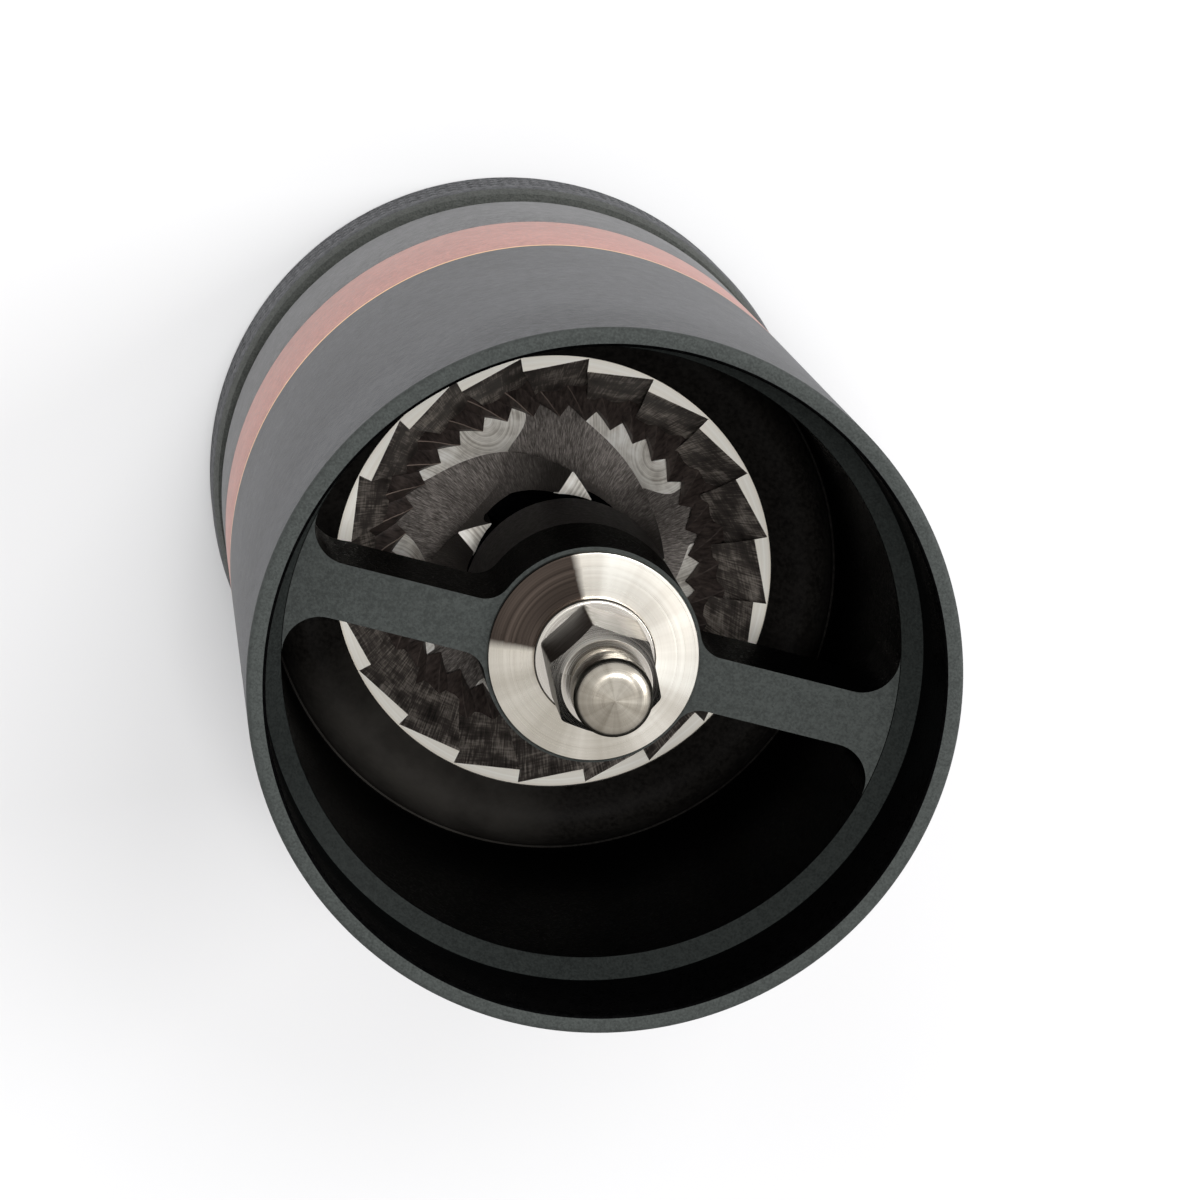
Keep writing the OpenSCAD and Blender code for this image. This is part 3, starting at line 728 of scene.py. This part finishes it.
def cone():
    """The cone burr: five twisting flutes, the lands that open out between them and the fine teeth below."""
    top_z, knee_z, low_z, skirt_z = CONE_TOP, 51.0, 47.0, 46.2
    sector = 72.0
    land_n, flute_n = 8, 64
    recess_r, recess_floor, bore_r = 7.5, 53.7, 3.53

    def env(z):
        """Radius over the lands."""
        if z > knee_z:
            return lerp(10.55, 9.5, (z - knee_z) / (top_z - knee_z))
        return 10.55 + 0.15 * (knee_z - z) + 0.2 * (knee_z - z) ** 2

    def depth(z):
        """Depth of a flute where it is deepest."""
        if z > knee_z:
            return lerp(2.6, 3.2, (z - knee_z) / (top_z - knee_z))
        t = min(1, (knee_z - z) / (knee_z - low_z))
        return lerp(2.6, 1.1, t ** 0.9)

    def bounds(z):
        """The two angles, in degrees, between which a land lies."""
        if z >= knee_z:
            c = 125.4 - 3.42 * (z - knee_z)
            return c - 0.35, c + 0.35
        out = min(2.3, env(z) - env(knee_z))
        return 125.05 - 10.5 * out + 2.3 * out * out, 125.75 + 24 * out - 3.4 * out * out

    def hollow(f):
        """Shape of a flute across its width, 0 at its edges and 1 at its deepest."""
        peak = 0.4
        return 1 - (1 - f / peak) ** 3.2 if f < peak else 1 - (1 - (1 - f) / (1 - peak)) ** 2.2

    def radius(f, z):
        return env(z) - (depth(z) * hollow(f) if f is not None else 0)

    def top_of(f):
        """Where the flute runs out: at the top face, or at the pocket in it."""
        if radius(f, top_z) >= recess_r + 0.05:
            return top_z
        lo, hi = recess_floor, top_z
        for _ in range(24):
            mid = (lo + hi) / 2
            lo, hi = (mid, hi) if radius(f, mid) > recess_r + 0.05 else (lo, mid)
        return lo

    slots = [("land", i / land_n) for i in range(land_n + 1)]
    slots += [("flute", j / flute_n) for j in range(1, flute_n)]
    tops = [top_z if kind == "land" else top_of(f) for kind, f in slots]

    def angle(kind, f, z):
        c1, c0 = bounds(z)
        return lerp(c1, c0, f) if kind == "land" else lerp(c0, c1 + sector, f)

    rows = 84
    rings = []
    for k in range(rows + 1):
        ring = []
        for s in range(FLUTES):
            for (kind, f), zt in zip(slots, tops):
                z = lerp(low_z, zt, k / rows)
                r = radius(f if kind == "flute" else None, z)
                ring.append((r, math.radians(angle(kind, f, z) + sector * s), z))
        rings.append(ring)
    last = rings[-1]
    rings.append([(recess_r, a, z) for _, a, z in last])
    rings.append([(recess_r, a, recess_floor) for _, a, _ in last])
    rings.append([(bore_r, a, recess_floor) for _, a, _ in last])
    rings.append([(bore_r, a, BURR_BOTTOM) for _, a, _ in rings[0]])
    per = 9                                        # columns to one fine tooth of the skirt
    first = [a for _, a, _ in rings[0]]
    start = first[0]
    even = [start + TAU * i / len(first) for i in range(len(first))]

    def skirt(r, d, z, twist):
        return [(r - d * (i % per) / per, a + math.radians(twist), z) for i, a in enumerate(even)]
    rings += [skirt(16.15, 0.7, BURR_BOTTOM, 0), skirt(15.7, 0.6, 41, 4), skirt(14.5, 0.4, skirt_z, 8.5)]
    cols = len(slots)

    def mat_of(k, i):
        if k < rows:
            return 0 if i % cols < land_n and rings[k][i][2] < knee_z else 1
        # painted shade: the flute tops that run into the pocket, the pocket's wall and floor, and the bore
        # take the black bore finish, for the shade in the pocket
        if k == rows:
            return 0 if tops[i % cols] > top_z - 0.25 else 3
        return 3 if k < rows + 4 else 1
    return stitch("cone_burr", rings, [MAT_CONE_LAND, MAT_FLUTE, MAT_STEP, MAT_BORE], mat_of, 28)


piece(coarse_ring(), "housing", "outer_burr")
piece(fine_ring(), "housing", "outer_burr")
piece(cone(), "burr_set", "inner_burr")

# ------------------------------------------------------------------ shaft
washer = lathe("washer_turned", rounded(
    [(3.49, DISC_BOTTOM), (DISC_R, DISC_BOTTOM), (DISC_R, DISC_TOP - 0.12), (4.9, DISC_TOP),
     (3.49, DISC_TOP)],
    {2: 0.12}), [MAT_STAINLESS])
piece(washer, "spindle", "cap_washer")


def shaft():
    """Three turned and ground lengths: the shaft with its collar, the pilot on its neck, and the hexagon."""
    af, cap = 8.0, 0.6                             # across the flats, and the height of the hexagon's chamfer
    collar_z, collar_r, hex_top = DISC_TOP, 4.93, RIM_Z - 0.4
    shaft_r, neck_r, tip_r, tip_round = 3.48, 2.6, 3.1, 1.5
    lower = lathe("shaft_turned", rounded(
        [(0, SHAFT_END), (shaft_r, SHAFT_END), (shaft_r, collar_z), (collar_r, collar_z),
         (collar_r, collar_z + 1.0), (0, collar_z + 1.0)],
        {1: 0.4, 4: 0.35}), [MAT_POLISHED])
    top = lathe("shaft_pilot", rounded(
        [(0, hex_top - 1), (neck_r, hex_top - 1), (neck_r, hex_top + 1.8), (tip_r, hex_top + 2.2),
         (tip_r, SHAFT_TIP), (0, SHAFT_TIP)],
        {4: tip_round}, 8), [MAT_PILOT])
    hex_r = af / 2 / math.cos(math.pi / 6)
    segs, top_r, slope = 192, af / 2 - 0.42, cap / 0.5
    levels = 3                                     # foot, foot of the chamfer, top
    verts, faces = [], []
    for level in range(levels):
        for i in range(segs):
            a = TAU * i / segs
            local = (a + math.pi / 6) % (math.pi / 3) - math.pi / 6
            flat = min(af / 2 / math.cos(local), hex_r - 0.06)
            r = top_r if level == 2 else flat
            z = (collar_z + 0.9, hex_top - (flat - top_r) * slope, hex_top)[level]
            turn = a + math.radians(27)
            verts.append((r * math.cos(turn), r * math.sin(turn), z))
    for k in range(levels - 1):
        for i in range(segs):
            j = (i + 1) % segs
            faces.append((k * segs + i, k * segs + j, (k + 1) * segs + j, (k + 1) * segs + i))
    faces.append(tuple((levels - 1) * segs + i for i in range(segs)))
    faces.append(tuple(reversed(range(segs))))
    kinds = [0] * segs + [1] * (len(faces) - segs)
    hexagon = new_mesh("shaft_hexagon", verts, faces, [MAT_HEX, MAT_POLISHED], kinds, 28)
    return lower, top, hexagon


for ob in shaft():
    piece(ob, "spindle", "drive_shaft")


# ------------------------------------------------------------------ cup
def knurled_ring():
    """The cup's base ring: a diamond knurl, a plain step, the neck and the collar inside."""
    base_r, top, neck, collar_in = 28.85, 9.8, 27.0, 25.55
    z0, z1 = 1.0, 8.0
    cols, rows = 720, 36
    verts, faces, fm = [], [], []

    def ring(r_of, z):
        start = len(verts)
        for i in range(cols):
            a = TAU * i / cols
            r = r_of(a)
            verts.append((r * math.cos(a), r * math.sin(a), z))
        return start

    def knurl(a, z, count=90, depth=0.3):
        u = a / TAU * count
        w = (z - z0) * count / (TAU * base_r)
        g = max(abs(((u + w) % 1) - 0.5), abs(((u - w) % 1) - 0.5)) * 2
        return depth * max(0, (g - 0.45) / 0.55)

    prof_low = [(collar_in, 0.0), (base_r - 0.8, 0.0), (base_r - 0.25, 0.25), (base_r, 0.8)]
    rings = [ring(lambda a, r=r: r, z) for r, z in prof_low]
    for k in range(rows + 1):
        z = z0 + (z1 - z0) * k / rows
        rings.append(ring(lambda a, z=z: base_r - knurl(a, z), z))
    smooth_from = len(rings)
    prof_high = [(base_r, 8.2), (base_r, top - 1.4), (base_r - 0.2, top - 0.7), (base_r - 0.65, top),
                 (neck, top), (neck, SKIRT_BOTTOM - 0.1), (24.25, SKIRT_BOTTOM - 0.1), (24.25, 8.05),
                 (collar_in, 8.05)]
    rings += [ring(lambda a, r=r: r, z) for r, z in prof_high]
    n = len(rings)
    for k in range(n):
        p, q = rings[k], rings[(k + 1) % n]
        for i in range(cols):
            j = (i + 1) % cols
            faces.append((p + i, p + j, q + j, q + i))
            fm.append(1 if k >= smooth_from + 2 else 0)
    return new_mesh("base_ring_knurled", verts, faces, [MAT_BODY, MAT_DARK_RING], fm, 30)


piece(knurled_ring(), "cup", "knurled_base_ring")



def cup_shell():
    """The catch cup: a turned tub with the O-ring's groove in its wall."""
    out_r, in_r, lip_z, floor_z = 24.2, 22.9, 31.5, 2.8
    groove_r, groove_z0, groove_z1 = 23.58, 19.35, 20.65
    return lathe("cup_shell", rounded(
        [(0, 0.5), (25.5, 0.5), (25.5, 8), (out_r, 8), (out_r, groove_z0), (groove_r, groove_z0),
         (groove_r, groove_z1), (out_r, groove_z1), (out_r, lip_z), (in_r, lip_z), (in_r, floor_z),
         (0, floor_z)],
        {1: 0.4, 8: 0.4, 9: 0.3, 10: 2.0}, 6), [MAT_SKIRT_LIT])


piece(cup_shell(), "cup", "catch_cup")

# ------------------------------------------------------------------ the CAD nodes that stay
KEPT = {
    MAT_STEEL: ("carrier_circlip", "shaft_circlip", "spring_seat", "upper_shim", "race_spacer", "burr_spring",
                "click_plate", "upper_bearing_shields", "lower_bearing_shields"),
    MAT_POLISHED: ("upper_outer_race", "lower_outer_race", "upper_inner_race", "lower_inner_race",
                   "upper_bearing_balls", "lower_bearing_balls"),
    MAT_BRASS: ("upper_bearing_cage", "lower_bearing_cage"),
    MAT_ALU: ("adjusting_dial",),
    MAT_RUBBER: ("cup_oring",),
}
for mat, nodes in KEPT.items():
    for node in nodes:
        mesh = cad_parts[node].data
        mesh.materials.clear()
        mesh.materials.append(mat)

# ------------------------------------------------------------------ stage, light and camera
RIM = Vector((0, 0, RIM_Z * MM))
SCALE = BODY_R / 28.0

FLOOR = 3.0                                        # half the floor's width, metres
floor_mesh = bpy.data.meshes.new("floor")
floor_mesh.from_pydata([(-FLOOR, -FLOOR, 0), (FLOOR, -FLOOR, 0), (FLOOR, FLOOR, 0), (-FLOOR, FLOOR, 0)],
                       [], [(0, 1, 2, 3)])
floor = bpy.data.objects.new("floor", floor_mesh)
bpy.context.scene.collection.objects.link(floor)
floor_mat = material("floor_pale", (0.57, 0.57, 0.575), 0, 0.9, 0.1)
floor_mesh.materials.append(floor_mat)
floor.location.z = -0.0002


def area(name, place, target, size, power):
    """A square softbox, all in metres and watts, that faces its target."""
    li = bpy.data.lights.new(name, "AREA")
    li.energy = power
    li.size = size
    ob = bpy.data.objects.new(name, li)
    ob.location = place
    ob.rotation_euler = (Vector(target) - Vector(place)).to_track_quat("-Z", "Y").to_euler()
    bpy.context.scene.collection.objects.link(ob)
    return ob


world = bpy.data.worlds.new("studio")
world.use_nodes = True
world.node_tree.nodes["Background"].inputs["Color"].default_value = (1, 1, 1, 1)
world.node_tree.nodes["Background"].inputs["Strength"].default_value = 0.84
bpy.context.scene.world = world

# deep lights the burrs down the bore. deep and floor_wash are kept out of reflections, off the polished steel.
area("front", (0.06, 0.42, 1.05), (0, 0, 0.05), 0.26, 3.2)
deep = area("deep", (-0.075, 0.12, 1.15), (0, 0, 0.05), 0.14, 6.5)
deep.visible_glossy = False
area("side", (0.75, 0.5, 0.45), (0, 0, 0.06), 0.45, 6.0)
floor_wash = area("floor_wash", (-0.55, 0.55, 1.1), (-0.12, 0.1, 0), 0.7, 3.5)
floor_wash.visible_glossy = False

# the camera, fitted to the circles that the photograph shows
cam = bpy.data.cameras.new("camera")
cam.lens = 150
cam.sensor_width = 36
cam.clip_start = 0.01
cam_ob = bpy.data.objects.new("camera", cam)
RIGHT = Vector((0.96053781, 0.26146013, 0.09489847))
UP = Vector((-0.24108239, 0.95274831, -0.18479702))
BACK = RIGHT.cross(UP)
cam_ob.matrix_world = Matrix((
    (RIGHT.x, UP.x, BACK.x, 0), (RIGHT.y, UP.y, BACK.y, 0), (RIGHT.z, UP.z, BACK.z, 0), (0, 0, 0, 1)))
cam_ob.location = RIM + Vector((-56.00738805, 66.18035361, 378.35900304)) * MM * SCALE
bpy.context.scene.collection.objects.link(cam_ob)
bpy.context.scene.camera = cam_ob
bpy.context.scene.view_settings.view_transform = "Standard"
